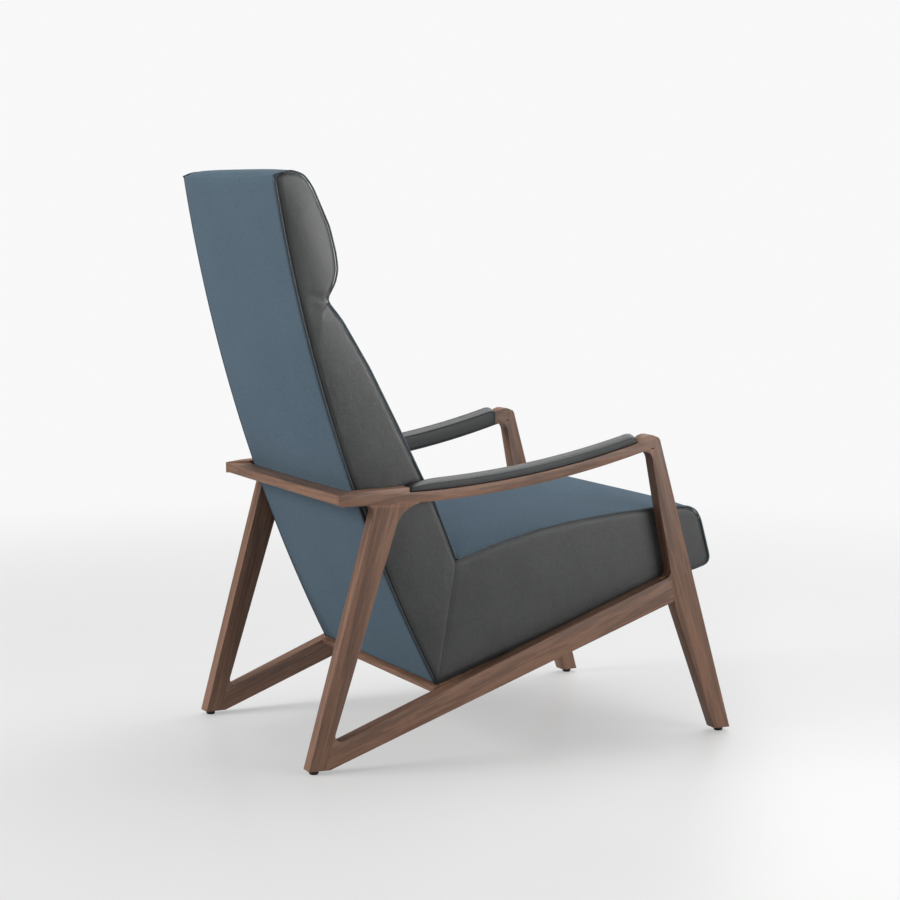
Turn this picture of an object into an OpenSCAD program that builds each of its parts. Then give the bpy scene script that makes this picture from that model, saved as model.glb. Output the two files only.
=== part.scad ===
// High-back lounge armchair: two splayed walnut side frames carry one upholstered shell.
// Millimetres. +Z is up, the sitter faces -Y, left and right are the sitter's own.

/* [Timber frame] */
// Thickness of each side frame
frame_t = 30; // [28:1:31]
// Width over the two rear feet
rear_w = 581; // [575:1:587]
// Angle each side frame opens toward the front, in degrees
toe_out = 2.5; // [2.4:0.1:2.6]
// Depth of the arm rail below the pad
arm_rail_d = 20; // [18:1:22]
// Fillet where the arm rail runs into the rear leg
arm_fillet = 62; // [60:1:64]

/* [Shell] */
// Clear gap between the shell and the side frames at the seat
shell_gap = 3.3; // [3:0.1:5]
// Thickness of the leather and cloth covers with their lining
cover_t = 4; // [3:0.5:5]
// Width of the thick welt up the back corners
back_welt = 7; // [6:0.5:8]
// Thickness of the plywood sides
ply_t = 15; // [12:1:18]

/* [Arm pads] */
// Height of the pad above the arm rail
pad_h = 21; // [19:1:23]
// How far the pad wraps past the inner face of the arm
pad_wrap = 7; // [6:0.5:8]

/* [Glides] */
// Height the screw-in glides hold the feet off the floor
glide_h = 8; // [7:1:9]
// Diameter of the glide
glide_d = 18; // [16:1:20]
// Length of the glide's threaded stem
stem_l = 24; // [20:1:26]

/* [Hidden] */
$fn = 96;
walnut = [0.42, 0.29, 0.22];
leather = [0.20, 0.21, 0.21];
cloth = [0.27, 0.33, 0.40];
foam = [0.88, 0.86, 0.74];
ply = [0.80, 0.68, 0.48];
steel = [0.70, 0.71, 0.73];
black = [0.06, 0.06, 0.06];
lining = [0.12, 0.12, 0.13];

// The drawing's Y is measured from a point this far in front of the middle
mid_y = 6.2;
rear_foot_y = 436;
front_foot_y = -466;
gap = 0.3;
high = 1300;

// Side frame lines, as Y on a height or height on a Y
function rear_edge(z) = rear_foot_y - 0.276 * (z - 8);
function rear_inside(z) = 404.1 - 0.3217 * (z - 8);
function rail_top(y) = 134 + 0.38 * (172.7 - y);
function rail_bottom(y) = 89.2 + 0.3645 * (170.8 - y);
function front_edge(z) = front_foot_y + 0.2813 * (z - 8);
function front_inside(z) = lookup(z, [[8, -431], [262, -338], [345, -326], [468, -301], [561, -283.8]]);

// The arm rail's underside is one long arc about this centre
arm_r = 1890;
arm_c = [260, 501.5 + arm_r];
arm_flat_z = 501.5;
pad_front = -252;
pad_rear = 232;

// Half-width of the shell at Y: it follows the side frames under the arms and narrows up the back
kink_y = 146;
splay = tan(toe_out);
taper = 0.0815;
function frame_half(y) = rear_w / 2 + splay * (rear_foot_y - y);
function shell_half(y) = y < kink_y
    ? frame_half(y) - frame_t - shell_gap
    : frame_half(kink_y) - frame_t - shell_gap - taper * (y - kink_y);

// Side outline of the shell, from the rear lower corner round the front to the top
shell_r = 3250;
shell_c = [-2731.8, 1616.3];
base_line = [[185, 134.8], [-401, 328], [-432, 337], [-438, 350]];
seat_line = [[-416, 431], [-405, 450], [-386, 459], [-330, 461.5], [-230, 456], [-133, 446],
    [-50, 432.5], [30, 413], [118, 385]];
back_line = [[161, 492], [190, 549], [234, 640], [292, 755], [345, 845], [375, 883]];
head_line = [[358, 914], [353, 939], [357, 970], [369, 1018], [401, 1091], [418, 1114], [442, 1122]];
rear_line = [[462, 1119], [520, 1094.6], [500, 1000], [470, 850], [420, 650], [330, 400]];
outline = concat(base_line, seat_line, back_line, head_line, rear_line);
elbow = [118, 385];
heel = [164.4, 141.6];

function unit(v) = v / norm(v);
function left_of(v) = [-v.y, v.x];
// Every corner of a closed outline moved inward by d, keeping the sides parallel
function inset(p, d) = [for (i = [0:len(p) - 1])
    let (n = len(p),
        u = left_of(unit(p[i] - p[(i + n - 1) % n])),
        v = left_of(unit(p[(i + 1) % n] - p[i])))
    p[i] - d * (u + v) / (1 + u * v)];

// ---- placing and shaping ----

module drawn() translate([0, -mid_y, 0]) children();

module mirrored(side) mirror([side == "left" ? 1 : 0, 0, 0]) children();

// A side profile drawn in Y and Z, given thickness from x0 to x1
module across(x0, x1)
    translate([x0, 0, 0]) rotate([90, 0, 90]) linear_extrude(x1 - x0) children();

// Places a profile in the plane of one side frame: x 0 is its outer face
module in_frame(side)
    drawn() mirrored(side) translate([-rear_w / 2, rear_foot_y, 0]) rotate([0, 0, -toe_out])
        translate([0, -rear_foot_y, 0]) children();

// Plan of the shell, d inside its sides
module plan(d)
    linear_extrude(high) polygon([
        [-shell_half(-500) + d, -500], [shell_half(-500) - d, -500],
        [shell_half(kink_y) - d, kink_y], [shell_half(560) - d, 560],
        [-shell_half(560) + d, 560], [-shell_half(kink_y) + d, kink_y]]);

// Plan strip just inside the right side of the shell, from d0 to d1 deep
module side_strip(d0, d1)
    linear_extrude(high) polygon([
        [-shell_half(-500) + d0, -500], [-shell_half(-500) + d1, -500],
        [-shell_half(kink_y) + d1, kink_y], [-shell_half(560) + d1, 560],
        [-shell_half(560) + d0, 560], [-shell_half(kink_y) + d0, kink_y]]);

module full_width(d) drawn() intersection() {
    across(-400, 400) children();
    plan(d);
}

module at_side(side, d0, d1) drawn() mirrored(side) intersection() {
    across(-400, 0) children();
    side_strip(d0, d1);
}

// Side profile of the shell, d inside its outline
module profile(d) intersection() {
    polygon(inset(outline, d));
    translate(shell_c) circle(shell_r - d, $fn = 720);
}

// Everything behind the mitre seam that runs from the elbow to the heel
module behind_seam(d) polygon([
    [heel.x - 40 + d, heel.y - 160], [heel.x + d, heel.y], [elbow.x + d, elbow.y],
    [elbow.x - 60 + d, elbow.y + 60], [elbow.x - 60 + d, high], [700, high], [700, -100]]);

// Everything on the front side of a line just inside the curved back
module before_back(d) translate(shell_c) circle(shell_r - d, $fn = 720);

// ---- side frames ----

module rear_leg_2d() difference() {
    polygon([[rear_foot_y, glide_h], [rear_edge(483), 483], [316, 483], [316, 520], [212, 520],
        [212, 459], [rear_inside(459), 459], [rear_inside(glide_h), glide_h]]);
    translate(arm_c) circle(arm_r, $fn = 720);
    translate([arm_c.x - 1, arm_flat_z]) square([120, 40]);
    translate([200, arm_flat_z + 0.5 - arm_fillet]) circle(arm_fillet);
    translate([318.2, 487.5]) circle(14);
}

module front_leg_2d() polygon([
    [front_foot_y, glide_h], [front_edge(590), 590], [-300.5, 597], [-297, 602], [-291, 604.5],
    [front_inside(561), 561], [front_inside(468), 468], [front_inside(345), 345],
    [front_inside(262), 262], [front_inside(glide_h), glide_h]]);

module side_rail_2d() difference() {
    polygon([[-318.5, rail_top(-318.5)], [-318.5, 335.7], [front_inside(335.7), 335.7],
        [-336.2, rail_bottom(-336.2)], [393.6, glide_h], [rear_inside(glide_h), glide_h],
        [382.5, 75.1], [366.8, 75.1], [366.8, rail_top(366.8)]]);
    translate([-313.5, 333.7]) circle(14);
    translate([371.1, 71.4]) circle(12);
}

module arm_rail_2d() difference() {
    intersection() {
        polygon([[374.2, 480], [374.2, 523], [340, 527], [300, 529], [pad_rear, 531],
            [pad_rear, 640], [pad_front, 640], [pad_front, 595.5], [-257, 600], [-266, 605.5],
            [-275, 608], [-283, 607.5], [-291, 604.5], [-283.8, 561], [-283.8, 480]]);
        union() {
            translate(arm_c) circle(arm_r, $fn = 720);
            translate([arm_c.x, arm_flat_z]) square([130, 40]);
            polygon([[-290, 561], [-261, 561], [-261, 580], [-290, 580]]);
        }
    }
    intersection() {
        translate(arm_c) circle(arm_r - arm_rail_d, $fn = 720);
        translate([pad_front, 400]) square([pad_rear - pad_front, 300]);
    }
    translate([-266.1, 557.6]) circle(18);
}

// Plan of the corner where the crossbar is mitred to the right arm rail
module mitre_corner() linear_extrude(high) polygon([
    [-340, 374.2], [-293.4, 374.2], [-263, 329], [-200, 329], [-200, 430], [-340, 430]]);

rear_glide_y = 421;
front_glide_y = -448.5;

module glide_bore(y) translate([frame_t / 2, y, glide_h - 1]) cylinder(d = 12.1, h = 28);

// Dowels inside each side frame: [y, z, diameter, length, direction in the frame's plane]
frame_joints = [
    [394, 42, 8, 34, 159.2], [-333, 300, 10, 46, 159.2], [-331, 322, 8, 40, 159.2],
    [284, 501.5, 10, 44, 90], [246, 501.5, 10, 44, 90], [-283, 584, 8, 30, 180]];
// Dowels from each side frame into the lower crossbars: [y, z]
rail_joints = [[112, 146], [-262, 268], [-292, 278]];

module frame_dowel(j, play) translate([frame_t / 2, j.x, j.y]) rotate([j[4] - 90, 0, 0])
    cylinder(d = j.z + play, h = j[3] + play, center = true);

module rail_dowel(p, play) translate([-frame_half(p.x) + 8 - play, p.x, p.y]) rotate([0, 90, 0])
    cylinder(d = 10 + play, h = 50 + 2 * play);

module mitre_dowel(play) translate([-277, 352, 512]) rotate([0, 90, 34])
    cylinder(d = 8 + play, h = 30 + play, center = true);

module frame_holes() for (j = frame_joints) frame_dowel(j, 0.1);

module rail_holes() for (p = rail_joints) rail_dowel(p, 0.1);

module rear_leg(side) color(walnut) in_frame(side) difference() {
    across(0, frame_t) rear_leg_2d();
    glide_bore(rear_glide_y);
    frame_holes();
}

module front_leg(side) color(walnut) in_frame(side) difference() {
    across(0, frame_t) front_leg_2d();
    glide_bore(front_glide_y);
    frame_holes();
}

module side_rail(side) color(walnut) difference() {
    in_frame(side) difference() {
        across(0, frame_t) side_rail_2d();
        frame_holes();
    }
    drawn() mirrored(side) rail_holes();
}

module arm_rail(side) color(walnut) difference() {
    in_frame(side) difference() {
        across(0, frame_t) arm_rail_2d();
        frame_holes();
    }
    drawn() mirrored(side) {
        mitre_corner();
        mitre_dowel(0.1);
    }
}

module rear_leg_left() rear_leg("left");
module rear_leg_right() rear_leg("right");
module front_leg_left() front_leg("left");
module front_leg_right() front_leg("right");
module side_rail_left() side_rail("left");
module side_rail_right() side_rail("right");
module arm_rail_left() arm_rail("left");
module arm_rail_right() arm_rail("right");

// ---- crossbars ----

module back_crossbar() color(walnut) drawn() difference() {
    intersection() {
        across(-300, 300)
            polygon([[370.5, 502], [374.2, 506], [374.2, 522], [330, 522], [322.8, 502]]);
        linear_extrude(high) polygon([[-293.2, 374.2], [293.2, 374.2], [262.8, 329],
            [262.8, 310], [-262.8, 310], [-262.8, 329]]);
    }
    for (s = [0, 1]) mirror([s, 0, 0]) mitre_dowel(0.1);
}

// Height of the shell's underside at Y
base_slope = 0.3297;
function shell_base(y) = heel.y + base_slope * (heel.x - y);

module between_rails(d) intersection() {
    across(-400, 400) children();
    linear_extrude(high) polygon([
        [-frame_half(-500) + frame_t + d, -500], [frame_half(-500) - frame_t - d, -500],
        [frame_half(500) - frame_t - d, 500], [-frame_half(500) + frame_t + d, 500]]);
}

// Places a bolt's parts on the shell's underside, pointing up into the shell
shell_bolt_at = [[-170, 132], [170, 132], [-190, -276], [190, -276]];
module on_base() drawn() for (p = shell_bolt_at)
    translate([p.x, p.y, shell_base(p.y)]) rotate([-atan(base_slope), 0, 0]) children();

// Crossbar under the shell; under lists [y, depth below the shell's underside] along its own underside
module lower_crossbar(under) color(walnut) difference() {
    last = len(under) - 1;
    drawn() difference() {
        between_rails(0.1) polygon(concat(
            [for (p = [under[0], under[last]]) [p.x, shell_base(p.x) - 0.4]],
            [for (i = [last:-1:0]) [under[i].x, shell_base(under[i].x) - under[i].y]]));
        for (s = [0, 1]) mirror([s, 0, 0]) rail_holes();
    }
    on_base() {
        translate([0, 0, -60]) cylinder(d = 13, h = 48);
        translate([0, 0, -13]) cylinder(d = 6.3, h = 20);
    }
}

module rear_crossbar() lower_crossbar([[170, 11], [92, 27.5], [8, 12]]);
module front_crossbar() lower_crossbar([[-242, 30], [-310, 30]]);

module joint_dowels() color(ply) {
    for (side = ["left", "right"]) {
        in_frame(side) for (j = frame_joints) frame_dowel(j, 0);
        drawn() mirrored(side) {
            for (p = rail_joints) rail_dowel(p, 0);
            mitre_dowel(0);
        }
    }
}

// ---- glides ----

module insert(side, y) in_frame(side) translate([frame_t / 2, y, glide_h]) difference() {
    cylinder(d = 12, h = 26);
    translate([0, 0, -1]) cylinder(d = 8.04, h = 28);
}

module glide_inserts() color(steel) for (side = ["left", "right"]) {
    insert(side, rear_glide_y);
    insert(side, front_glide_y);
}

module glide(side, y) in_frame(side) translate([frame_t / 2, y, 0]) rotate_extrude()
    polygon([[0, 0], [glide_d / 2 - 1.5, 0], [glide_d / 2, 2], [glide_d / 2, glide_h - 1.2],
        [glide_d / 2 - 1, glide_h - 0.2], [0, glide_h - 0.2]]);

module stem(side, y) in_frame(side) translate([frame_t / 2, y, glide_h - 0.2])
    cylinder(d = 8, h = stem_l);

module rear_glide_left() color(black) glide("left", rear_glide_y);
module rear_glide_right() color(black) glide("right", rear_glide_y);
module front_glide_left() color(black) glide("left", front_glide_y);
module front_glide_right() color(black) glide("right", front_glide_y);
module rear_stem_left() color(steel) stem("left", rear_glide_y);
module rear_stem_right() color(steel) stem("right", rear_glide_y);
module front_stem_left() color(steel) stem("left", front_glide_y);
module front_stem_right() color(steel) stem("right", front_glide_y);

// ---- arm pads ----

// Side view of the pad, d inside its top and ends, reaching low past the top of the arm rail
module pad_2d(d, low) difference() {
    intersection() {
        polygon([[pad_rear - 0.3 - d, 480], [pad_rear - 0.3 - d, 527], [217, 541 - d], [200, 547],
            [200, 640], [-226, 640], [-230, 607 - d], [-246 + d, 602 - d], [-251.7 + d, 595],
            [-251.7 + d, 480]]);
        translate(arm_c) circle(arm_r - arm_rail_d - gap + low, $fn = 720);
    }
    translate(arm_c) circle(arm_r - arm_rail_d - pad_h + d, $fn = 720);
}

module pad_skirt_2d() difference() {
    intersection() {
        polygon([[212, 480], [219, 530], [200, 640], [-226, 640], [-244, 601], [-246, 480]]);
        translate(arm_c) circle(arm_r - 1, $fn = 720);
    }
    translate(arm_c) circle(arm_r - arm_rail_d - 6, $fn = 720);
}

// Plan of the pad, d inside its sides: it wraps past the arm rail only in front of the shell's back
pad_out = 1.5;
pad_narrow = frame_t + 1.5;
module pad_plan(d) linear_extrude(high) polygon([
    [pad_out + d, -300], [frame_t + pad_wrap - d, -300], [frame_t + pad_wrap - d, 138],
    [pad_narrow - d, 158], [pad_narrow - d, 260], [pad_out + d, 260]]);

module arm_pad_foam(side) color(foam) in_frame(side) intersection() {
    across(0, 60) pad_2d(3.5, 0);
    pad_plan(3.5);
}

module arm_pad_cover(side) color(leather) in_frame(side) difference() {
    intersection() {
        union() {
            across(0, 60) pad_2d(0, 0);
            across(frame_t + gap, 60) intersection() {
                pad_skirt_2d();
                translate([-300, 400]) square([450, 300]);
            }
        }
        pad_plan(0);
    }
    intersection() {
        across(0, 60) pad_2d(3.2, 6);
        pad_plan(3.2);
    }
}

module arm_pad_foam_left() arm_pad_foam("left");
module arm_pad_foam_right() arm_pad_foam("right");
module arm_pad_cover_left() arm_pad_cover("left");
module arm_pad_cover_right() arm_pad_cover("right");

// ---- shell structure ----

panel_t = 8;
inner = cover_t + gap;
clear = ply_t + inner + gap;
side_panel = [[200, shell_base(200) + 5], [-392, shell_base(-392) + 5], [-408, 350], [-394, 410],
    [60, 352], [128, 352], [206, 492], [279, 640], [334, 755], [377, 845], [398, 883], [440, 1095],
    [520, 1095], [520, 900], [330, 380]];
web_t = 3;

module panel_2d(d) intersection() {
    polygon(inset(side_panel, d));
    before_back(back_welt + gap + panel_t + gap);
}

module side_panel_at(side) color(ply) at_side(side, inner, inner + ply_t) panel_2d(0);
module side_panel_left() side_panel_at("left");
module side_panel_right() side_panel_at("right");

module back_panel() color(ply) full_width(back_welt + gap) intersection() {
    difference() {
        before_back(back_welt + gap);
        before_back(back_welt + gap + panel_t);
    }
    polygon([[150, shell_base(150) + 6], [150, 600], [400, 1095], [600, 1095], [600, shell_base(600)]]);
    profile(inner);
}

module base_panel() color(ply) difference() {
    full_width(clear) polygon([
        [152, shell_base(152) + 2.6], [-340, shell_base(-340) + 2.6],
        [-340, shell_base(-340) + 12.6], [152, shell_base(152) + 12.6]]);
    on_base() cylinder(d = 8.2, h = 20);
}

module front_timber() color(ply) full_width(clear)
    polygon([[-342, 345], [-388, 345], [-394, 350], [-386, 408.6], [-342, 402.7]]);
module seat_timber() color(ply) full_width(clear)
    polygon([[20, 300], [60, 300], [60, 351.5], [20, 356.7]]);
module head_timber() color(ply) full_width(clear)
    polygon([[431.4, 1050], [452.4, 1050], [460, 1094], [440.2, 1094]]);

module seat_webbing() color(black) drawn() for (x = [-200 : 80 : 200])
    across(x - 27, x + 27) polygon([
        [-390, 409.8], [60, 352.3], [60, 352.3 + web_t], [-390, 409.8 + web_t]]);

// Bands across the back, each lying on the front edges of the side panels
back_bands = [[222, 524], [254, 589], [286, 655], [315, 716], [345, 778]];
module back_webbing() color(black) intersection() {
    full_width(inner) for (p = back_bands) translate(p) rotate(64.3)
        translate([-25, 3 * gap]) square([50, web_t]);
    drawn() translate([-400, 0, 0]) cube([800, 600, high]);
}

// ---- foam ----

module padded_2d() difference() {
    intersection() {
        profile(inner);
        before_back(back_welt + gap + panel_t + gap);
    }
    polygon(inset(side_panel, -web_t - 5 * gap));
    polygon([[-394, 350], [-340, 300], [200, 100], [200, 350], [60, 350], [-394, 400]]);
}

module seat_foam() color(foam) full_width(inner) difference() {
    padded_2d();
    behind_seam(-gap / 2);
    translate([-340, 0]) square([1200, 346]);
}

module back_foam() color(foam) full_width(inner) intersection() {
    padded_2d();
    behind_seam(gap / 2);
    polygon([[0, 353.5], [600, 353.5], [600, 882.8], [0, 882.8]]);
}

module head_foam() color(foam) full_width(inner) intersection() {
    padded_2d();
    polygon([[300, 883.2], [600, 883.2], [600, high], [300, high]]);
}

// ---- covers and welts ----

module side_cover_2d() intersection() {
    profile(inner);
    before_back(back_welt + gap);
}

module back_side_cover(side) color(leather) at_side(side, 0, cover_t) intersection() {
    side_cover_2d();
    behind_seam(gap / 2);
}

module seat_side_cover(side) color(leather) at_side(side, 0, cover_t) difference() {
    side_cover_2d();
    behind_seam(-gap / 2);
}

module back_side_cover_left() back_side_cover("left");
module back_side_cover_right() back_side_cover("right");
module seat_side_cover_left() seat_side_cover("left");
module seat_side_cover_right() seat_side_cover("right");

// The band of cover between the two sides, d inside the welts
module band_2d() difference() {
    profile(0);
    profile(cover_t);
    difference() {
        translate([-700, -200]) square([1500, 1500]);
        before_back(back_welt + gap);
    }
}

module above_line(y, z) translate([y, z]) square([900, 900]);

module outer_back_cover() color(cloth) full_width(back_welt + gap) difference() {
    profile(0);
    before_back(cover_t);
}

module inner_back_cover() color(cloth) full_width(inner) intersection() {
    band_2d();
    behind_seam(gap / 2);
    polygon([[80, 380], [300, 380], [600, 882.8], [80, 882.8]]);
}

module headrest_cover() color(cloth) full_width(inner) intersection() {
    band_2d();
    above_line(300, 883.2);
}

module seat_cover() color(cloth) full_width(inner) difference() {
    band_2d();
    behind_seam(-gap / 2);
    translate([-600, 0]) square([187, high]);
    translate([-600, 0]) square([1200, 370]);
}

module front_cover() color(cloth) full_width(inner) intersection() {
    band_2d();
    polygon([[-600, 200], [-398, 200], [-398, 360], [-413.3, 400], [-413.3, high], [-600, high]]);
}

module base_cover() color(lining) difference() {
    full_width(inner) polygon([[156, shell_base(156)], [-397, shell_base(-397)],
        [-397, shell_base(-397) + 2], [156, shell_base(156) + 2]]);
    on_base() translate([0, 0, -5]) cylinder(d = 9, h = 20);
}

module back_welt_at(side) color(leather) at_side(side, 0, back_welt) difference() {
    profile(0);
    before_back(back_welt);
}

module inner_back_welt(side) color(cloth) at_side(side, 0, cover_t) intersection() {
    band_2d();
    behind_seam(gap / 2);
    polygon([[80, 380], [300, 380], [500, 700], [600, high], [80, high]]);
}

module seat_welt(side) color(cloth) at_side(side, 0, cover_t) difference() {
    band_2d();
    behind_seam(-gap / 2);
}

module back_welt_left() back_welt_at("left");
module back_welt_right() back_welt_at("right");
module inner_back_welt_left() inner_back_welt("left");
module inner_back_welt_right() inner_back_welt("right");
module seat_welt_left() seat_welt("left");
module seat_welt_right() seat_welt("right");

// ---- bolts that hold the shell ----

module shell_bolts() color(steel) on_base() {
    translate([0, 0, -16]) cylinder(d = 12, h = 3.9);
    translate([0, 0, -12.5]) cylinder(d = 6, h = 27);
}

module tee_nuts() color(steel) on_base() difference() {
    union() {
        translate([0, 0, 4]) cylinder(d = 8, h = 9);
        translate([0, 0, 12.3]) cylinder(d = 18, h = 1.5);
    }
    translate([0, 0, 3]) cylinder(d = 6.04, h = 14);
}

// Which part to show

rear_leg_left();
rear_leg_right();
front_leg_left();
front_leg_right();
side_rail_left();
side_rail_right();
arm_rail_left();
arm_rail_right();
back_crossbar();
rear_crossbar();
front_crossbar();
joint_dowels();
glide_inserts();
rear_glide_left();
rear_glide_right();
front_glide_left();
front_glide_right();
rear_stem_left();
rear_stem_right();
front_stem_left();
front_stem_right();
arm_pad_foam_left();
arm_pad_foam_right();
arm_pad_cover_left();
arm_pad_cover_right();
side_panel_left();
side_panel_right();
back_panel();
base_panel();
front_timber();
seat_timber();
head_timber();
seat_webbing();
back_webbing();
seat_foam();
back_foam();
head_foam();
back_side_cover_left();
back_side_cover_right();
seat_side_cover_left();
seat_side_cover_right();
outer_back_cover();
inner_back_cover();
headrest_cover();
seat_cover();
front_cover();
base_cover();
back_welt_left();
back_welt_right();
inner_back_welt_left();
inner_back_welt_right();
seat_welt_left();
seat_welt_right();
shell_bolts();
tee_nuts();
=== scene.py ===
import math

import bmesh
import bpy
import numpy as np
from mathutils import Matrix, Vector
from mathutils.bvhtree import BVHTree


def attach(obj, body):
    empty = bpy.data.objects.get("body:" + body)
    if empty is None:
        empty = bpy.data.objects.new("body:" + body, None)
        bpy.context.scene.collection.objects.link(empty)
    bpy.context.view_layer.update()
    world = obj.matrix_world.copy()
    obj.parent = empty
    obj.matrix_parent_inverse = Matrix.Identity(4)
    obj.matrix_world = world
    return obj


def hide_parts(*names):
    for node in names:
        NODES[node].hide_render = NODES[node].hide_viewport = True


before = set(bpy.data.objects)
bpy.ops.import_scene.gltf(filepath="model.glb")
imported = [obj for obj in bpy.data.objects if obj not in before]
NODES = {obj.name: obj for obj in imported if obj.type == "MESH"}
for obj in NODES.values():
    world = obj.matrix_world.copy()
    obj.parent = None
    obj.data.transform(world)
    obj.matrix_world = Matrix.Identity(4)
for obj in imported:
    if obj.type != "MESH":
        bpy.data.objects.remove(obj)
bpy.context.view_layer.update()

bl_info = {
    "name": "High-back lounge armchair",
    "version": (1, 0, 0),
    "blender": (4, 5, 0),
    "location": "View3D > Sidebar > Armchair",
    "description": "Upholstery, timber finish and studio for a high-back lounge armchair",
    "category": "Object",
}

BODY = "chair"
MM = 0.001

# ---- the shell's drawing, in millimetres ----

MID_Y = 6.2            # the drawing's Y is this far ahead of the frame's Y
REAR_W, FRAME_T = 581.0, 30.0
TOE_OUT = math.radians(2.5)
REAR_FOOT_Y, SHELL_GAP = 436.0, 3.3
KINK_Y, TAPER = 146.0, 0.0815
SHELL_C, SHELL_R = (-2731.8, 1616.3), 3250.0
ARM_C, ARM_R = (260.0, 2391.5), 1890.0
ELBOW, HEEL, NOTCH = (118.0, 385.0), (164.4, 141.6), (375.0, 883.0)
BASE_SLOPE = 0.3297
# Each line runs round the outside so that the shell's outer side is on its left
FRONT_LINE = [(-401, 328), (-432, 337), (-438, 350), (-416, 431)]
SEAT_LINE = [(-416, 431), (-405, 450), (-386, 459), (-330, 461.5), (-230, 456), (-133, 446),
             (-50, 432.5), (30, 413), (118, 385)]
BACK_LINE = [(118, 385), (161, 492), (190, 549), (234, 640), (292, 755), (345, 845), (375, 883)]
HEAD_LINE = [(375, 883), (358, 914), (353, 939), (357, 970), (369, 1018), (401, 1091), (418, 1114),
             (442, 1122), (462, 1119), (478.5, 1112.1)]
REAR_LOW, REAR_TOP = 144.2, 1112.0     # the outer back runs between these heights

# ---- covers and seams, in millimetres ----

WELT, BACK_WELT = 4.0, 5.8             # room that a thin and a thick welt take at a panel's edge
WELT_IN = 2.0                          # centre of a thin welt, inward from the shell's corner
COVER_GAP = 0.3                        # between a cover and its welt
SEAM = 0.15                            # half the gap at the mitre seam
BAND_END_W = 14.0                      # width over which a band's two ends roll under
PANEL_ROLL, PANEL_ROLL_W = 3.0, 10.0
MITRE_ROLL, MITRE_ROLL_W = 0.5, 2.0
UNDER_W = 15.0                         # width over which the seat panel turns under the shell
RIPPLE = 0.5
HEAD_PUFF, HEAD_PUFF_Z, HEAD_PUFF_H = 3.0, 1000.0, 95.0
# Creases that the notch pulls in the leather: depth, height from the notch, its width, then Y, length
NOTCH_CREASES = ((2.2, 2, 4.0, 388, 22), (1.1, -17, 5.0, 396, 18))
CREASE_SLOPE = 0.10

# ---- arm pads, in millimetres above the arm's underside or inward from its outer face ----

PAD_Y = (-251.7, 231.7)
PAD_FRONT_W, PAD_REAR_W = 20.0, 75.0   # lengths over which the pad's two ends fall away
PAD_SEAT = 20.6                        # the pad's underside, just over the arm
PAD_LIP = 30.5                         # where the pad reaches down past the arm's inner face
PAD_TUCK = 2.2
PAD_SEAM = 1.0

# ---- dust cloth ----

DUST_Y = (-396, 154)
DUST_ROWS, DUST_COLS = 60, 50


def shell_base(y):
    return HEEL[1] + BASE_SLOPE * (HEEL[0] - y)


def frame_half(y):
    return REAR_W / 2 + math.tan(TOE_OUT) * (REAR_FOOT_Y - y)


def shell_half(y):
    """Half the shell's width at Y of the drawing, in millimetres."""
    if y < KINK_Y:
        return frame_half(y) - FRAME_T - SHELL_GAP
    return frame_half(KINK_Y) - FRAME_T - SHELL_GAP - TAPER * (y - KINK_Y)


def back_arc_y(z, inset=0.0):
    return SHELL_C[0] + math.sqrt((SHELL_R - inset) ** 2 - (z - SHELL_C[1]) ** 2)


def unit(x):
    """x held between 0 and 1."""
    return max(0.0, min(1.0, x))


def quarter(t):
    """Height of a quarter circle, from 0 at t = 0 to 1 at t = 1."""
    return math.sqrt(1 - (1 - t) ** 2)


def ease(distance, width):
    """0 at an edge and 1 from width inward, on a quarter circle."""
    return quarter(min(1.0, distance / width))


def bell(x, middle, width):
    return math.exp(-((x - middle) / width) ** 2)


def at(x, y, z):
    """A point of the drawing in the frame, in metres."""
    return Vector((x * MM, (y - MID_Y) * MM, z * MM))


# ---- line work ----

def smooth_path(points, step, rounds=3):
    """The polyline resampled evenly and eased, its two ends kept."""
    p = np.array(points, float)
    seg = np.linalg.norm(np.diff(p, axis=0), axis=1)
    s = np.concatenate([[0], np.cumsum(seg)])
    n = max(4, int(round(s[-1] / step)))
    t = np.linspace(0, s[-1], n + 1)
    q = np.stack([np.interp(t, s, p[:, i]) for i in range(p.shape[1])], 1)
    for _ in range(rounds):
        q[1:-1] = (q[:-2] + 2 * q[1:-1] + q[2:]) / 4
    return q


def path_normals(q):
    """Unit normals on the left of the path's direction, in its plane."""
    d = np.gradient(q, axis=0)
    d /= np.linalg.norm(d, axis=1)[:, None]
    return np.stack([-d[:, 1], d[:, 0]], 1)


def arc_length(q):
    return np.concatenate([[0], np.cumsum(np.linalg.norm(np.diff(q, axis=0), axis=1))])


# ---- meshes ----

def new_piece(name, verts, faces, material, smooth=True, cloth=None):
    mesh = bpy.data.meshes.new(name)
    mesh.from_pydata([tuple(v) for v in verts], [], faces)
    if cloth is not None:
        layer = mesh.attributes.new("cloth_at", "FLOAT_VECTOR", "POINT")
        layer.data.foreach_set("vector", np.array(cloth, np.float32).reshape(-1))
    mesh.update()
    piece = bpy.data.objects.new(name, mesh)
    bpy.context.scene.collection.objects.link(piece)
    outward(piece)
    if smooth:
        mesh.polygons.foreach_set("use_smooth", [True] * len(mesh.polygons))
    piece.data.materials.append(material)
    return piece


def outward(piece):
    bm = bmesh.new()
    bm.from_mesh(piece.data)
    bmesh.ops.recalc_face_normals(bm, faces=bm.faces)
    bm.to_mesh(piece.data)
    bm.free()


def apply_modifiers(piece):
    dg = bpy.context.evaluated_depsgraph_get()
    mesh = bpy.data.meshes.new_from_object(piece.evaluated_get(dg), depsgraph=dg)
    old = piece.data
    piece.modifiers.clear()
    piece.data = mesh
    bpy.data.meshes.remove(old)
    return piece


def subdivide(piece, levels=1):
    mod = piece.modifiers.new("Smooth", "SUBSURF")
    mod.levels = mod.render_levels = levels
    return apply_modifiers(piece)


def belongs(piece, slot, *nodes):
    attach(piece, BODY)
    if nodes:
        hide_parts(*nodes)
    return piece


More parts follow.
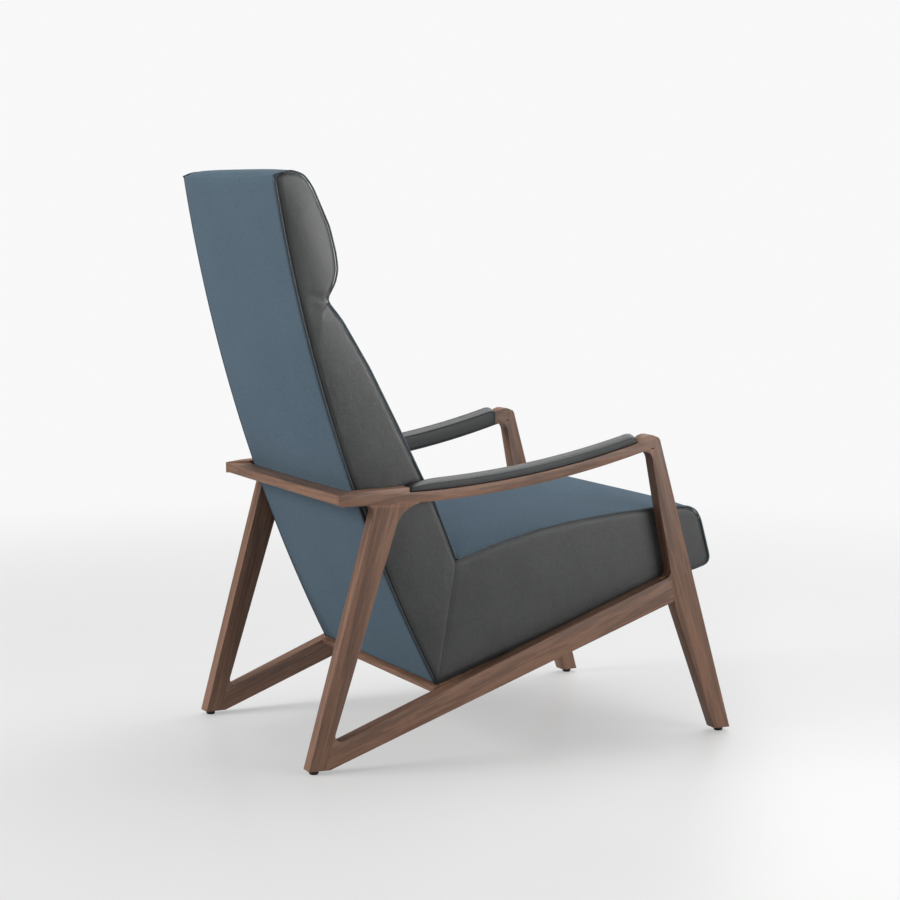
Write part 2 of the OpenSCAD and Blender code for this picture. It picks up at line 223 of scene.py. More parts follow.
def edge_spread(n, grip=1.6):
    """n + 1 places from -1 to 1, closer together near both ends."""
    t = np.linspace(-1, 1, n + 1)
    return np.sign(t) * (1 - (1 - np.abs(t)) ** grip)


def grid_faces(rows, cols, start=0, flip=False):
    out = []
    for i in range(rows - 1):
        for j in range(cols - 1):
            a = start + i * cols + j
            f = (a, a + 1, a + cols + 1, a + cols)
            out.append(f[::-1] if flip else f)
    return out


def ring_of(rows, cols):
    """Indices of a grid's rim, in order."""
    top = list(range(cols))
    right = [i * cols + cols - 1 for i in range(1, rows)]
    bottom = [(rows - 1) * cols + j for j in range(cols - 2, -1, -1)]
    left = [i * cols for i in range(rows - 2, 0, -1)]
    return top + right + bottom + left


def closed_pad(name, face, back, material, cloth):
    """Closed form from two grids of points with one shape: the face and the side it rests on."""
    rows, cols = face.shape[:2]
    n = rows * cols
    verts = np.concatenate([face.reshape(-1, 3), back.reshape(-1, 3)])
    faces = grid_faces(rows, cols) + grid_faces(rows, cols, n, True)
    ring = ring_of(rows, cols)
    for a, b in zip(ring, ring[1:] + ring[:1]):
        faces.append((a, b, b + n, a + n))
    return new_piece(name, verts, faces, material, cloth=np.concatenate([cloth, cloth]))


def inflate(piece, count, rim, cap, pressure=4.0, frames=20, stiffness=12.0, bending=0.6):
    """Fills the first count points of a pad by a cloth simulation. The rim and the back stay pinned,
    and no point moves further than cap, in metres."""
    rest = np.zeros(len(piece.data.vertices) * 3)
    piece.data.vertices.foreach_get("co", rest)
    rest = rest.reshape(-1, 3)
    pins = piece.vertex_groups.new(name="sewn_down")
    pins.add(list(rim) + list(range(count, len(rest))), 1.0, "REPLACE")
    mod = piece.modifiers.new("Fill", "CLOTH")
    s = mod.settings
    s.quality = 5
    s.mass = 0.25
    s.vertex_group_mass = "sewn_down"
    s.tension_stiffness = s.compression_stiffness = stiffness
    s.shear_stiffness = stiffness / 2
    s.bending_stiffness = bending
    s.use_pressure = True
    s.uniform_pressure_force = pressure
    s.effector_weights.gravity = 0
    mod.collision_settings.use_collision = False
    mod.collision_settings.use_self_collision = False
    mod.point_cache.frame_start, mod.point_cache.frame_end = 1, frames
    scene = bpy.context.scene
    for f in range(1, frames + 1):
        scene.frame_set(f)
    dg = bpy.context.evaluated_depsgraph_get()
    done = piece.evaluated_get(dg).to_mesh()
    now = np.zeros(len(done.vertices) * 3)
    done.vertices.foreach_get("co", now)
    now = now.reshape(-1, 3)
    piece.evaluated_get(dg).to_mesh_clear()
    piece.modifiers.clear()
    move = now - rest
    far = np.linalg.norm(move, axis=1)
    # Eased toward the cap, so the crown has no flat top where it is reached
    scale = np.where(far > 1e-9, cap * np.tanh(far / cap) / np.maximum(far, 1e-9), 0)
    piece.data.vertices.foreach_set("co", (rest + move * scale[:, None]).reshape(-1))
    piece.vertex_groups.clear()
    piece.data.update()
    scene.frame_set(1)
    print(f"{piece.name}: filled by {far.max() * 1000:.1f} mm, kept {(far * scale).max() * 1000:.1f} mm")
    return piece


def band_pad(name, line, material, inset_x, depth, roll, crown, cap=None, cols=44, step=11.0,
             roll_ends=(True, True), edge_w=16.0, arch=4.0):
    """Padded band that runs across the shell along a side profile, its outside on the line's left.
    roll is how far its edges roll under at the seams, and crown what it stands proud before filling.
    cap is the most that a simulation may fill it by; a taut band has none."""
    q = smooth_path(line, step)
    nrm = path_normals(q)
    s = arc_length(q)
    total = s[-1]
    u = edge_spread(cols)
    face = np.zeros((len(q), cols + 1, 3))
    back = np.zeros_like(face)
    cloth = np.zeros((len(q), cols + 1, 3))
    for i, (y, z) in enumerate(q):
        half = shell_half(y) - inset_x
        ends = 1.0
        if roll_ends[0]:
            ends = min(ends, s[i] / BAND_END_W)
        if roll_ends[1]:
            ends = min(ends, (total - s[i]) / BAND_END_W)
        ends = unit(ends)
        for j, k in enumerate(u):
            side = unit(half * (1 - abs(k)) / edge_w)
            turn = quarter(side) * quarter(ends)
            rise = -roll * (1 - turn) + crown * (1 - abs(k) ** arch) * turn
            py, pz = q[i] + nrm[i] * rise
            face[i, j] = at(half * k, py, pz)
            by, bz = q[i] - nrm[i] * depth
            back[i, j] = at(half * k, by, bz)
            cloth[i, j] = (half * k * MM, s[i] * MM, 0)
    piece = closed_pad(name, face, back, material, cloth.reshape(-1, 3))
    if cap is not None:
        inflate(piece, len(q) * (cols + 1), ring_of(len(q), cols + 1), cap)
    return subdivide(piece)


# ---- finishes ----

class Finish:
    """A material's node tree, built a node at a time."""

    def __init__(self, name):
        self.material = bpy.data.materials.new(name)
        self.material.use_nodes = True
        self.tree = self.material.node_tree
        self.shader = self.tree.nodes["Principled BSDF"]

    def node(self, kind, settings=None, **inputs):
        made = self.tree.nodes.new("ShaderNode" + kind)
        for key, value in (settings or {}).items():
            setattr(made, key, value)
        for key, value in inputs.items():
            self.put(made, key.replace("_", " "), value)
        return made

    def put(self, node, key, value):
        socket = node.inputs[int(key)] if key.isdigit() else node.inputs[key]
        if isinstance(value, bpy.types.NodeSocket):
            self.tree.links.new(value, socket)
        else:
            socket.default_value = value

    def math(self, operation, a, b):
        made = self.node("Math", {"operation": operation})
        self.put(made, "0", a)
        self.put(made, "1", b)
        return made.outputs[0]

    def mapped(self, source, scale, rotation=(0, 0, 0), location=(0, 0, 0)):
        made = self.node("Mapping", None, Vector=source, Scale=scale, Rotation=rotation,
                         Location=location)
        return made.outputs["Vector"]

    def noise(self, vector, scale, detail=2.0, roughness=0.5, distortion=0.0):
        return self.node("TexNoise", None, Vector=vector, Scale=scale, Detail=detail,
                         Roughness=roughness, Distortion=distortion).outputs["Fac"]

    def ramp(self, factor, stops):
        made = self.node("ValToRGB", None, Fac=factor)
        ramp = made.color_ramp
        while len(ramp.elements) < len(stops):
            ramp.elements.new(0.5)
        for element, (place, colour) in zip(ramp.elements, stops):
            element.position = place
            element.color = (*colour, 1)
        return made.outputs["Color"]

    def mix(self, factor, a, b, how="MIX"):
        made = self.tree.nodes.new("ShaderNodeMix")
        made.data_type = "RGBA"
        made.blend_type = how
        # A colour mix keeps its factor at input 0 and its two colours at 6 and 7
        for place, value in ((0, factor), (6, a), (7, b)):
            socket = made.inputs[place]
            if isinstance(value, bpy.types.NodeSocket):
                self.tree.links.new(value, socket)
            else:
                socket.default_value = (*value, 1) if isinstance(value, tuple) else value
        return made.outputs[2]

    def bump(self, height, distance, strength=1.0, normal=None):
        made = self.node("Bump", None, Height=height, Distance=distance, Strength=strength)
        if normal is not None:
            self.put(made, "Normal", normal)
        return made.outputs["Normal"]

    def set(self, **inputs):
        for key, value in inputs.items():
            self.put(self.shader, key.replace("_", " "), value)
        return self.material


def shade(colour, factor):
    return tuple(min(1.0, c * factor) for c in colour)


def walnut_finish(name, turn, seed, colour):
    """Oiled walnut whose grain runs along the member; turn brings its length onto Y."""
    f = Finish(name)
    here = f.node("TexCoord").outputs["Object"]
    along = f.mapped(here, (1, 1, 1), turn, (seed, seed * 0.7, seed * 1.3))
    drift = f.noise(f.mapped(along, (11, 1.3, 11)), 1.0, 3.0, 0.55, 0.6)
    rings = f.node("TexWave", {"bands_direction": "DIAGONAL"},
                   Vector=f.mapped(along, (1, 0.045, 1)), Scale=17.0, Distortion=7.0, Detail=3.0,
                   Detail_Scale=9.0, Detail_Roughness=0.6).outputs["Fac"]
    fibre = f.noise(f.mapped(along, (620, 9, 620)), 1.0, 4.0, 0.65)
    pores = f.noise(f.mapped(along, (1500, 42, 1500)), 1.0, 1.0)
    streak = f.noise(f.mapped(along, (150, 3.0, 150)), 1.0, 3.0, 0.6, 0.3)
    tone = f.math("ADD", f.math("MULTIPLY", drift, 0.40), f.math("MULTIPLY", rings, 0.20))
    tone = f.math("ADD", tone, f.math("MULTIPLY", streak, 0.30))
    tone = f.math("ADD", tone, f.math("MULTIPLY", fibre, 0.20))
    amber = tuple(c * k for c, k in zip(colour, (1.55, 1.55, 1.45)))
    wood = f.ramp(tone, [(0.34, shade(colour, 0.38)), (0.46, shade(colour, 0.74)),
                         (0.56, shade(colour, 1.04)), (0.72, amber)])
    pit = f.ramp(pores, [(0.30, (0.45, 0.45, 0.45)), (0.42, (1, 1, 1))])
    wood = f.mix(0.55, wood, pit, "MULTIPLY")
    # Painted highlight: the eased edges, where the mesh is pointy, are lightened toward twice the
    # walnut's colour
    painted_edge_highlight = f.ramp(f.node("NewGeometry").outputs["Pointiness"],
                  [(0.50, (0, 0, 0)), (0.56, (1, 1, 1))])
    wood = f.mix(f.math("MULTIPLY", painted_edge_highlight, 0.45), wood, shade(colour, 2.0))
    gloss = f.ramp(fibre, [(0.3, (0.36, 0.36, 0.36)), (0.7, (0.52, 0.52, 0.52))])
    fine = f.bump(pores, 0.00012, 0.5, f.bump(fibre, 0.00016, 0.5))
    return f.set(Base_Color=wood, Roughness=gloss, Normal=fine, Specular_IOR_Level=0.45)


def leather_finish(name, colour, roughness=0.40, grain=1.0, seed=0.0):
    f = Finish(name)
    here = f.mapped(f.node("TexCoord").outputs["Object"], (1, 1, 1), (0, 0, 0), (seed,) * 3)
    cells = f.node("TexVoronoi", {"feature": "DISTANCE_TO_EDGE"}, Vector=here, Scale=620.0,
                   Randomness=1.0).outputs["Distance"]
    pebbles = f.ramp(cells, [(0.0, (0, 0, 0)), (0.22, (1, 1, 1))])
    soft = f.noise(here, 9.0, 4.0, 0.6)
    fine = f.noise(here, 950.0, 2.0)
    creases = f.noise(here, 46.0, 5.0, 0.7, 1.4)
    tint = f.ramp(soft, [(0.30, shade(colour, 0.80)), (0.70, shade(colour, 1.22))])
    tint = f.mix(0.30, tint, f.mix(1.0, tint, pebbles, "MULTIPLY"))
    rub = f.ramp(f.node("NewGeometry").outputs["Pointiness"], [(0.50, (0, 0, 0)), (0.60, (1, 1, 1))])
    tint = f.mix(f.math("MULTIPLY", rub, 0.28), tint, shade(colour, 2.0))
    gloss = f.math("ADD", f.math("MULTIPLY", soft, 0.16), roughness - 0.08)
    relief = f.bump(pebbles, 0.00016 * grain, 0.55)
    relief = f.bump(fine, 0.00006, 0.4, relief)
    relief = f.bump(creases, 0.0011, 0.35, relief)
    return f.set(Base_Color=tint, Roughness=gloss, Normal=relief, Specular_IOR_Level=0.5)


def wool_finish(name, colour):
    """Felted wool with a fine plain weave. Its threads run across the piece and along it."""
    f = Finish(name)
    cloth = f.node("Attribute", {"attribute_name": "cloth_at"}).outputs["Vector"]
    here = f.node("TexCoord").outputs["Object"]
    threads = []
    for turn in (0, math.pi / 2):
        wave = f.node("TexWave", {"wave_profile": "SIN"},
                      Vector=f.mapped(cloth, (1, 1, 1), (0, 0, turn)), Scale=230.0,
                      Distortion=0.9, Detail=1.0, Detail_Scale=2.0)
        threads.append(wave.outputs["Fac"])
    weave = f.math("MULTIPLY", threads[0], threads[1])
    fuzz = f.noise(here, 1300.0, 3.0, 0.7)
    melange = f.noise(here, 330.0, 4.0, 0.75)
    cloud = f.noise(here, 5.0, 3.0, 0.5)
    tint = f.ramp(melange, [(0.30, shade(colour, 0.70)), (0.50, colour), (0.72, shade(colour, 1.38))])
    tint = f.mix(0.22, tint, f.ramp(weave, [(0.0, shade(colour, 0.55)), (0.8, shade(colour, 1.25))]))
    tint = f.mix(0.20, tint, f.ramp(cloud, [(0.3, shade(colour, 0.80)), (0.7, shade(colour, 1.20))]))
    relief = f.bump(weave, 0.00028, 0.6)
    relief = f.bump(fuzz, 0.00022, 0.5, relief)
    f.set(Base_Color=tint, Roughness=0.92, Normal=relief, Specular_IOR_Level=0.12)
    return f.set(Sheen_Weight=0.10, Sheen_Roughness=0.5,
                 Sheen_Tint=(*shade(colour, 3.0), 1))


def plain_wood_finish(name, colour, layers):
    f = Finish(name)
    here = f.node("TexCoord").outputs["Object"]
    grain = f.noise(f.mapped(here, (160, 6, 160)), 1.0, 4.0, 0.6)
    ply = f.node("TexWave", {"bands_direction": "X"}, Vector=here, Scale=layers, Distortion=0.3)
    tint = f.ramp(grain, [(0.3, shade(colour, 0.75)), (0.7, shade(colour, 1.15))])
    tint = f.mix(0.2, tint, f.ramp(ply.outputs["Fac"], [(0, shade(colour, 0.6)), (1, colour)]))
    return f.set(Base_Color=tint, Roughness=0.65, Normal=f.bump(grain, 0.0002, 0.5))


def metal_finish(name, colour):
    f = Finish(name)
    here = f.node("TexCoord").outputs["Object"]
    marks = f.noise(f.mapped(here, (90, 90, 900)), 1.0, 3.0)
    gloss = f.math("ADD", f.math("MULTIPLY", marks, 0.2), 0.22)
    return f.set(Base_Color=f.ramp(marks, [(0.3, shade(colour, 0.8)), (0.7, colour)]),
                 Roughness=gloss, Normal=f.bump(marks, 0.00005, 0.4), Metallic=1.0)


def moulded_finish(name, colour):
    f = Finish(name)
    grit = f.noise(f.node("TexCoord").outputs["Object"], 1600.0, 2.0)
    tint = f.ramp(grit, [(0.3, shade(colour, 0.8)), (0.7, shade(colour, 1.5))])
    return f.set(Base_Color=tint, Roughness=0.55, Normal=f.bump(grit, 0.00008, 0.5))


def woven_finish(name, colour, pitch):
    f = Finish(name)
    here = f.node("TexCoord").outputs["Object"]
    rows = f.node("TexWave", {"bands_direction": "Y"}, Vector=here, Scale=pitch, Distortion=0.4)
    picks = f.node("TexWave", {"bands_direction": "X"}, Vector=here, Scale=pitch, Distortion=0.4)
    weave = f.math("MULTIPLY", rows.outputs["Fac"], picks.outputs["Fac"])
    tint = f.ramp(weave, [(0, shade(colour, 0.6)), (1, shade(colour, 1.6))])
    return f.set(Base_Color=tint, Roughness=0.85, Normal=f.bump(weave, 0.0003, 0.6))


# ---- timber ----

TIMBER = {
    "rear_leg": ("rear_leg_left", "rear_leg_right"),
    "front_leg": ("front_leg_left", "front_leg_right"),
    "side_rail": ("side_rail_left", "side_rail_right"),
    "arm_rail": ("arm_rail_left", "arm_rail_right"),
    "crossbar": ("back_crossbar", "rear_crossbar", "front_crossbar"),
}
# Rotation that lays each member's length along Y
GRAIN_TURN = {
    "rear_leg": (math.radians(-105.4), 0, 0),
    "front_leg": (math.radians(-74.3), 0, 0),
    "side_rail": (math.radians(20.5), 0, 0),
    "arm_rail": (math.radians(7.0), 0, 0),
    "crossbar": (0, 0, math.radians(90)),
}


MERGE_DIST = 1e-5                       # points this near are one, in metres
FLAT_ANGLE, EDGE_ANGLE, SHARP_ANGLE = math.radians(0.4), math.radians(28), math.radians(32)
JOINT_DIST, JOINT_EASE = 0.0008, 0.12  # an edge this near another member is eased by this share


def timber_nodes():
    return [n for group in TIMBER.values() for n in group]


def eased_timber(node, material, width, others):
    """The member with its edges eased, and only a little where they meet another member."""
    mesh = NODES[node].data.copy()
    piece = bpy.data.objects.new(node + "_timber", mesh)
    bpy.context.scene.collection.objects.link(piece)
    bm = bmesh.new()
    bm.from_mesh(mesh)
    bmesh.ops.remove_doubles(bm, verts=bm.verts, dist=MERGE_DIST)
    bmesh.ops.dissolve_limit(bm, angle_limit=FLAT_ANGLE, verts=bm.verts, edges=bm.edges)
    weights = bm.edges.layers.float.new("bevel_weight_edge")
    for e in bm.edges:
        if len(e.link_faces) != 2 or e.calc_face_angle(0) < EDGE_ANGLE:
            continue
        middle = (e.verts[0].co + e.verts[1].co) / 2
        meets = any((tree.find_nearest(middle)[3] or math.inf) < JOINT_DIST for tree in others)
        e[weights] = JOINT_EASE if meets else 1.0
    bm.to_mesh(mesh)
    bm.free()
    mod = piece.modifiers.new("Eased edges", "BEVEL")
    mod.limit_method = "WEIGHT"
    mod.width = width
    mod.segments = 3
    mod.harden_normals = False
    apply_modifiers(piece)
    piece.data.materials.clear()
    piece.data.materials.append(material)
    piece.data.polygons.foreach_set("use_smooth", [True] * len(piece.data.polygons))
    piece.data.set_sharp_from_angle(angle=SHARP_ANGLE)
    return belongs(piece, "walnut", node)


# ---- side panels and welts ----

RIM_ANGLE = math.radians(55)           # a leather panel's rim is sharp, its rolled edges aren't


def resampled(points, n):
    p = np.array(points, float)
    s = arc_length(p)
    t = np.linspace(0, s[-1], n)
    return np.stack([np.interp(t, s, p[:, 0]), np.interp(t, s, p[:, 1])], 1)


def coons(low, high, start, end):
    """Grid of points filling four curves; low and high run along, start and end across."""
    cols, rows = len(low), len(start)
    u = np.linspace(0, 1, cols)[None, :, None]
    v = np.linspace(0, 1, rows)[:, None, None]
    ruled = (1 - v) * low[None] + v * high[None]
    other = (1 - u) * start[:, None] + u * end[:, None]
    corners = ((1 - u) * (1 - v) * low[0] + u * (1 - v) * low[-1]
               + (1 - u) * v * high[0] + u * v * high[-1])
    return ruled + other - corners


def line_distance(points, line):
    """Distance from every point to a line of points."""
    a, d = line[:-1], np.diff(line, axis=0)
    length = np.maximum((d ** 2).sum(1), 1e-9)
    t = np.clip(((points[:, None] - a) * d).sum(2) / length, 0, 1)
    near = a + t[..., None] * d
    return np.linalg.norm(points[:, None] - near, axis=2).min(1)


def shifted(line, distance):
    q = np.array(line, float)
    return q - path_normals(q) * distance


def corner(before, here, after, distance):
    """The corner of a profile moved inward, its two sides kept parallel."""
    def left(a, b):
        d = np.subtract(b, a) / np.linalg.norm(np.subtract(b, a))
        return np.array([-d[1], d[0]])
    u, v = left(before, here), left(here, after)
    return np.array(here) - distance * (u + v) / (1 + u @ v)


def side_panel_piece(name, side, grid, material, mitre, puff, under):
    """Leather panel over one side of the shell. Its edges turn under at the seams, least at the mitre
    seam, which is the grid's first column or its last one."""
    rows, cols = grid.shape[:2]
    flat = grid.reshape(-1, 2)
    rim = [grid[0], grid[-1], grid[:, -1 - mitre]]
    dist = np.min([line_distance(flat, line) for line in rim], axis=0).reshape(rows, cols)
    joined = line_distance(flat, grid[:, mitre]).reshape(rows, cols)
    lowest = line_distance(flat, grid[0]).reshape(rows, cols)
    face = np.zeros((rows, cols, 3))
    back = np.zeros_like(face)
    for i in range(rows):
        for j in range(cols):
            y, z = grid[i, j]
            turn, seam = ease(dist[i, j], PANEL_ROLL_W), ease(joined[i, j], MITRE_ROLL_W)
            along = j / (cols - 1)
            wide = math.sin(math.pi * i / (rows - 1)) ** 0.8
            wide *= ease(min(along, 1 - along), 0.30)
            rise = -PANEL_ROLL * (1 - turn) - MITRE_ROLL * (1 - seam) + puff * wide
            rise -= under * (1 - ease(lowest[i, j], UNDER_W))
            rise += RIPPLE * wide * math.sin(0.021 * y + 0.9) * math.sin(0.017 * z - 0.4)
            rise += HEAD_PUFF * wide * bell(z, HEAD_PUFF_Z, HEAD_PUFF_H)
            fall = z - NOTCH[1] - CREASE_SLOPE * (y - NOTCH[0])
            for depth, drop, width, middle, length in NOTCH_CREASES:
                rise -= depth * turn * bell(fall, drop, width) * bell(y, middle, length)
            x = shell_half(y) + rise
            face[i, j] = at(side * x, y, z)
            back[i, j] = at(side * (shell_half(y) - WELT), y, z)
    cloth = np.stack([grid[..., 0], grid[..., 1], np.zeros((rows, cols))], -1) * MM
    piece = closed_pad(name, face, back, material, cloth.reshape(-1, 3))
    piece.data.set_sharp_from_angle(angle=RIM_ANGLE)
    return piece


def tube(name, centre, radius, material, sides=10):
    """Round welt along a line of points, closed at both ends."""
    p = [Vector(c) for c in centre]
    normal = None
    rings = []
    for i, here in enumerate(p):
        d = (p[min(i + 1, len(p) - 1)] - p[max(i - 1, 0)]).normalized()
        if normal is None:
            normal = d.orthogonal().normalized()
        normal = (normal - d * normal.dot(d)).normalized()
        across = d.cross(normal)
        rings.append([here + (normal * math.cos(a) + across * math.sin(a)) * radius
                      for a in (2 * math.pi * k / sides for k in range(sides))])
    verts = [v for ring in rings for v in ring]
    faces = []
    for i in range(len(rings) - 1):
        for k in range(sides):
            a, b = i * sides + k, i * sides + (k + 1) % sides
            faces.append((a, b, b + sides, a + sides))
    faces.append(tuple(range(sides))[::-1])
    faces.append(tuple((len(rings) - 1) * sides + k for k in range(sides)))
    length = arc_length(np.array([list(c) for c in p]))
    cloth = [(0.01 * math.cos(2 * math.pi * k / sides), length[i], 0)
             for i in range(len(p)) for k in range(sides)]
    return new_piece(name, verts, faces, material, cloth=cloth)


def edge_line(line, inward, x_in, side, step=7.0, rounds=3):
    """A line just inside the profile at one side of the shell, in the frame."""
    q = smooth_path(line, step, rounds)
    q = q - path_normals(q) * inward
    return [at(side * (shell_half(y) - x_in), y, z) for y, z in q]


def rear_arc(low, high, inset=0.0, step=12.0):
    n = int((high - low) / step)
    return [(back_arc_y(z, inset), z) for z in np.linspace(high, low, n + 1)]


# ---- arm pads ----

def arm_z(y, rise):
    return ARM_C[1] - math.sqrt((ARM_R - rise) ** 2 - (y - ARM_C[0]) ** 2)


def in_side_frame(side, x, y, z):
    """A point of one side frame's own plane, x inward from its outer face."""
    c, s = math.cos(TOE_OUT), math.sin(TOE_OUT)
    ly = y - REAR_FOOT_Y
    wx = x * c + ly * s - REAR_W / 2
    wy = -x * s + ly * c + REAR_FOOT_Y
    return at(wx if side < 0 else -wx, wy, z)


def pad_heights(y, crown):
    """How far the pad tucks in at Y, then the heights of its crown and its top edges."""
    front = unit((y - PAD_Y[0]) / PAD_FRONT_W)
    rear = unit((PAD_Y[1] - y) / PAD_REAR_W)
    full = quarter(front) * quarter(rear)
    top = 23.5 + (crown - 23.5) * (0.12 + 0.88 * full)
    edge = 21.2 + 12.8 * (0.15 + 0.85 * full)
    return PAD_TUCK * (1 - full), top, edge


def pad_hug(y):
    """How far the pad reaches down the arm's inner face at Y, 0 behind and 1 in front, then where
    its inner side stands."""
    hug = unit((158 - y) / 22)
    hug = hug * hug * (3 - 2 * hug)
    return hug, 31.3 + 5.7 * hug


def pad_section(y, crown):
    """Outline of the arm pad at Y: (inward from the arm's outer face, above its underside)."""
    hug, inner = pad_hug(y)
    low = 21.0 - 19.0 * hug
    tuck, top, edge = pad_heights(y, crown)
    side = inner - tuck
    return [
        # up the outer side
        (2.4 + tuck, PAD_SEAT), (1.4 + tuck, 21.6), (1.0 + tuck, (edge + 20.8) / 2),
        (1.1 + tuck, edge - 1.4), (1.5 + tuck, edge - 0.3), (2.6 + tuck, edge + 0.8),
        # over the crown
        (8.0, edge + 0.55 * (top - edge)), (17.0, top), (25.5, edge + 0.70 * (top - edge)),
        # down the inner side
        (side - 3.2, edge + 1.0), (side - 1.2, edge - 0.6), (side, edge - 4.0),
        (side + 0.2 * hug, (edge + low) / 2 - 2), (side - 0.3, low + 3.0), (side - 1.6, low),
        # back up the arm's inner face and across its top
        (inner - 4.2, low - 0.2), (PAD_LIP, low + 2.0), (PAD_LIP, PAD_SEAT), (24.0, PAD_SEAT),
        (14.0, PAD_SEAT), (7.0, PAD_SEAT)]


def arm_pad_piece(name, side, material, crown):
    front, rear = -224, 150            # closer stations lie beyond these, over the rounded ends
    stations = np.concatenate([np.linspace(PAD_Y[0], front, 9)[:-1], np.linspace(front, rear, 40),
                               np.linspace(rear, PAD_Y[1], 16)[1:]])
    verts, cloth = [], []
    for y in stations:
        for k, (x, rise) in enumerate(pad_section(y, crown)):
            verts.append(in_side_frame(side, x, y, arm_z(y, rise)))
            cloth.append((k * 0.004, y * MM, 0))
    n = len(pad_section(0, crown))
    faces = []
    for i in range(len(stations) - 1):
        for k in range(n):
            a, b = i * n + k, i * n + (k + 1) % n
            faces.append((a, b, b + n, a + n))
    faces.append(tuple(range(n)))
    faces.append(tuple((len(stations) - 1) * n + k for k in range(n))[::-1])
    piece = new_piece(name, verts, faces, material, cloth=cloth)
    return subdivide(piece, 2)


def pad_piping(name, side, inner, material, crown):
    """Thin corded seam along one top edge of the arm pad."""
    line = []
    for y in np.linspace(PAD_Y[0] + 2, PAD_Y[1] - 3, 90):
        tuck, _, edge = pad_heights(y, crown)
        x = pad_hug(y)[1] - 1.5 - tuck if inner else 1.7 + tuck
        line.append(in_side_frame(side, x, y, arm_z(y, edge + 0.1)))
    return tube(name, line, PAD_SEAM * MM, material, 8)


# ---- settings ----

class ChairSizes(bpy.types.PropertyGroup):
    edge_ease: bpy.props.FloatProperty(
        name="Timber edge radius", description="How far the timber's edges are eased",
        default=0.0020, min=0.0005, max=0.004, unit="LENGTH")
    welt_radius: bpy.props.FloatProperty(
        name="Thin welt radius", description="Radius of the welts at the front edges and the seat",
        default=0.0019, min=0.001, max=0.004, unit="LENGTH")
    back_welt_radius: bpy.props.FloatProperty(
        name="Back welt radius", description="Radius of the thick welts up the back's rear corners",
        default=0.0031, min=0.002, max=0.006, unit="LENGTH")
    seat_fill: bpy.props.FloatProperty(
        name="Seat fill", description="Most that the seat may swell as it is filled",
        default=0.010, min=0.0, max=0.02, unit="LENGTH")
    back_fill: bpy.props.FloatProperty(
        name="Back fill", description="Most that the back may swell as it is filled",
        default=0.008, min=0.0, max=0.02, unit="LENGTH")
    head_fill: bpy.props.FloatProperty(
        name="Headrest fill", description="Most that the headrest may swell as it is filled",
        default=0.006, min=0.0, max=0.02, unit="LENGTH")
    pad_crown: bpy.props.FloatProperty(
        name="Arm pad crown", description="Height of the pad's crown above the arm's underside",
        default=0.0425, min=0.035, max=0.046, unit="LENGTH")


def colour_prop(name, description, default):
    return bpy.props.FloatVectorProperty(name=name, description=description, default=default,
                                         size=3, min=0.0, max=1.0, subtype="COLOR")


class ChairColours(bpy.types.PropertyGroup):
    walnut: colour_prop("Walnut", "Colour of the oiled timber", (0.180, 0.097, 0.063))
    leather: colour_prop("Leather", "Colour of the side panels and arm pads", (0.050, 0.052, 0.052))
    cord: colour_prop("Back welt", "Colour of the thick back welts", (0.026, 0.040, 0.050))
    wool: colour_prop("Wool", "Colour of the cloth on back, seat and headrest", (0.092, 0.135, 0.173))
    trim: colour_prop("Thin welt", "Colour of the thin welts", (0.120, 0.150, 0.172))
    floor: colour_prop("Floor", "Colour of the studio floor", (0.72, 0.72, 0.72))


class ChairSettings(bpy.types.PropertyGroup):
    sizes: bpy.props.PointerProperty(type=ChairSizes)
    colours: bpy.props.PointerProperty(type=ChairColours)


def finish_for(kind, context):
    """The named finish, made once and shared by the pieces that wear it."""
    found = bpy.data.materials.get(kind)
    if found:
        return found
    c = context.scene.lounge_chair.colours
    if kind.startswith("walnut_"):
        member = kind[len("walnut_"):]
        seed = 0.37 * (1 + list(TIMBER).index(member))
        return walnut_finish(kind, GRAIN_TURN[member], seed, tuple(c.walnut))
    return {
        "leather_panel": lambda: leather_finish(kind, tuple(c.leather), 0.34),
        # The arm pads take the panel leather darkened to 0.62 of its colour: painted shade, so that
        # their sides read dark
        "leather_pad": lambda: leather_finish(kind, shade(tuple(c.leather), 0.62), 0.32, 1.2, 0.6),
        "leather_welt": lambda: leather_finish(kind, tuple(c.cord), 0.45, 0.8, 1.1),
        "wool": lambda: wool_finish(kind, tuple(c.wool)),
        "wool_welt": lambda: wool_finish(kind, tuple(c.trim)),
    }[kind]()


# ---- operators ----

class Timber(bpy.types.Operator):
    """Legs, rails and crossbars, with eased edges and grain along each member"""
    bl_idname = "lounge_chair.timber"
    bl_label = "Timber frame"

    def execute(self, context):
        trees = {}
        for n in timber_nodes():
            mesh = NODES[n].data
            trees[n] = BVHTree.FromPolygons([v.co for v in mesh.vertices],
                                            [tuple(p.vertices) for p in mesh.polygons])
        width = context.scene.lounge_chair.sizes.edge_ease
        for member, nodes in TIMBER.items():
            for n in nodes:
                others = [t for k, t in trees.items() if k != n]
                eased_timber(n, finish_for("walnut_" + member, context), width, others)
        return {"FINISHED"}


class Seat(bpy.types.Operator):
    """Seat cushion and the cloth over its front face"""
    bl_idname = "lounge_chair.seat"
    bl_label = "Seat"

    def execute(self, context):
        sizes = context.scene.lounge_chair.sizes
        wool = finish_for("wool", context)
        rim = WELT + COVER_GAP
        seat = band_pad("seat_cushion", SEAT_LINE, wool, rim, depth=16.0, roll=1.5, crown=6.0,
                        cap=sizes.seat_fill, roll_ends=(False, True))
        belongs(seat, "wool_cloth", "seat_cover", "seat_foam")
        front = band_pad("seat_front", FRONT_LINE, wool, rim, depth=6.0, roll=1.0, crown=1.5,
                         step=6.0, roll_ends=(True, False))
        belongs(front, "wool_cloth", "front_cover")
        return {"FINISHED"}


